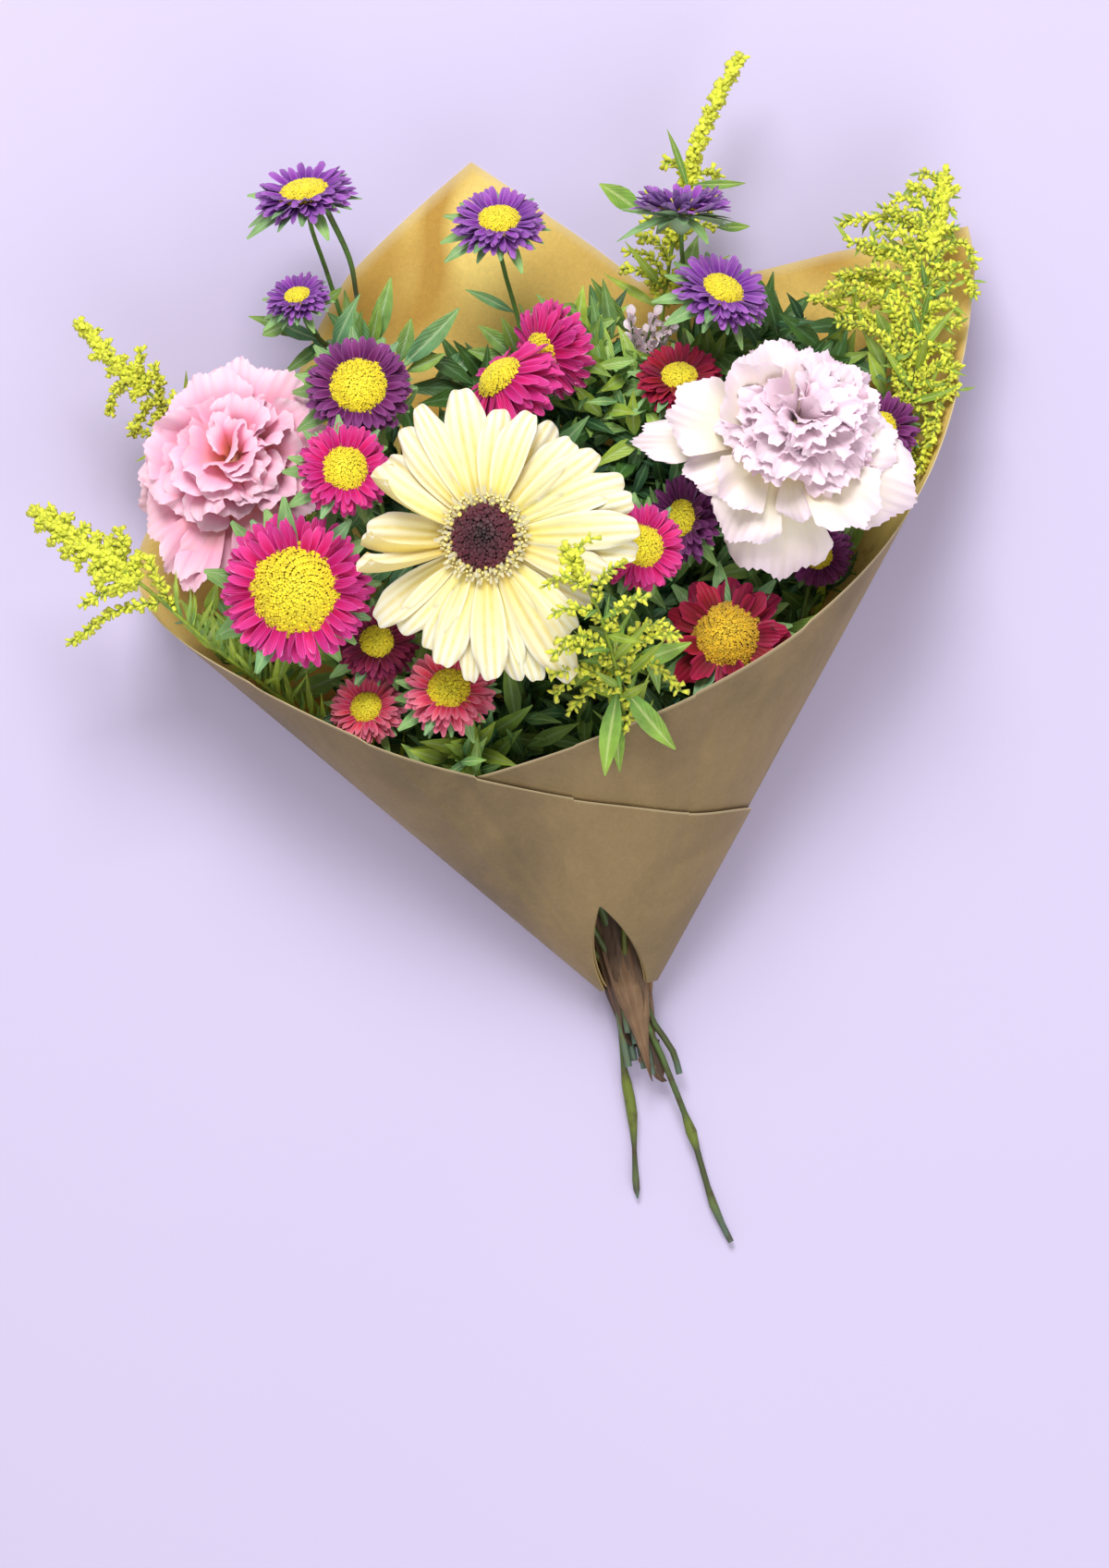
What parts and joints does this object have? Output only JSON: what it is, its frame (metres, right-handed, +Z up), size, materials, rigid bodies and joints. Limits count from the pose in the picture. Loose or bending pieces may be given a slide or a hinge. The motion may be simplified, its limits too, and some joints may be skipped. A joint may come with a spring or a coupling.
{
  "type": "mixed flower bouquet",
  "caption": "Hand-tied bunch of mixed cut flowers in a cone of brown kraft paper, lying on its back with the cut stems out of the narrow end.",
  "frame": {"origin": "on the table, on the flat back of the paper cone, below the middle of the blooms", "axes": "+Z up, out of the table and towards the front of the bouquet; +Y from the cut stems towards the flower tips; +X to the right as seen from above"},
  "size_m": [0.3994, 0.4889, 0.1595],
  "materials": {
    "petals_violet": "matte",
    "petals_plum": "matte",
    "petals_magenta": "matte",
    "petals_coral": "matte",
    "petals_maroon": "matte",
    "petals_crimson": "matte",
    "discs_yellow": "matte",
    "petals_cream": "matte",
    "disc_dark": "matte",
    "petals_blush": "matte",
    "petals_pink": "matte",
    "foliage_green": "matte",
    "goldenrod_yellow": "matte",
    "statice_pink": "matte",
    "kraft_paper": "matte",
    "rubber": "matte"
  },
  "bodies": {
    "root": {"aster_violet_tall_rays": "petals_violet", "aster_violet_tall_disc": "discs_yellow", "aster_violet_small_rays": "petals_violet", "aster_violet_small_disc": "discs_yellow", "aster_violet_back_rays": "petals_violet", "aster_violet_back_disc": "discs_yellow", "aster_violet_edge_rays": "petals_violet", "aster_violet_edge_disc": "discs_yellow", "aster_violet_right_rays": "petals_violet", "aster_violet_right_disc": "discs_yellow", "aster_plum_left_rays": "petals_plum", "aster_plum_left_disc": "discs_yellow", "aster_magenta_left_rays": "petals_magenta", "aster_magenta_left_disc": "discs_yellow", "aster_magenta_large_rays": "petals_magenta", "aster_magenta_large_disc": "discs_yellow", "aster_magenta_side_rays": "petals_magenta", "aster_magenta_side_disc": "discs_yellow", "aster_magenta_back_rays": "petals_magenta", "aster_magenta_back_disc": "discs_yellow", "aster_coral_front_rays": "petals_coral", "aster_coral_front_disc": "discs_yellow", "aster_coral_low_rays": "petals_coral", "aster_coral_low_disc": "discs_yellow", "aster_maroon_rays": "petals_maroon", "aster_maroon_disc": "discs_yellow", "aster_magenta_right_rays": "petals_magenta", "aster_magenta_right_disc": "discs_yellow", "aster_plum_centre_rays": "petals_plum", "aster_plum_centre_disc": "discs_yellow", "aster_crimson_back_rays": "petals_crimson", "aster_crimson_back_disc": "discs_yellow", "daisy_crimson_rays": "petals_crimson", "daisy_crimson_disc": "discs_yellow", "aster_plum_far_right_rays": "petals_plum", "aster_plum_far_right_disc": "discs_yellow", "aster_plum_low_rays": "petals_plum", "aster_plum_low_disc": "discs_yellow", "gerbera_rays": "petals_cream", "gerbera_disc": "disc_dark", "gerbera_stem": "foliage_green", "carnation_blush_petals": "petals_blush", "carnation_blush_stem": "foliage_green", "carnation_pink_petals": "petals_pink", "carnation_pink_stem": "foliage_green", "goldenrod_top": "goldenrod_yellow", "goldenrod_right": "goldenrod_yellow", "goldenrod_left_upper": "goldenrod_yellow", "goldenrod_left_lower": "goldenrod_yellow", "goldenrod_front": "goldenrod_yellow", "statice": "statice_pink", "paper_wrap": "kraft_paper", "rubber_band": "rubber", "spray_back_left": "foliage_green", "spray_back_centre": "foliage_green", "spray_back_right": "foliage_green", "spray_front_left": "foliage_green", "spray_front": "foliage_green", "spray_centre_right": "foliage_green", "spray_right": "foliage_green"}
  },
  "joints": []
}
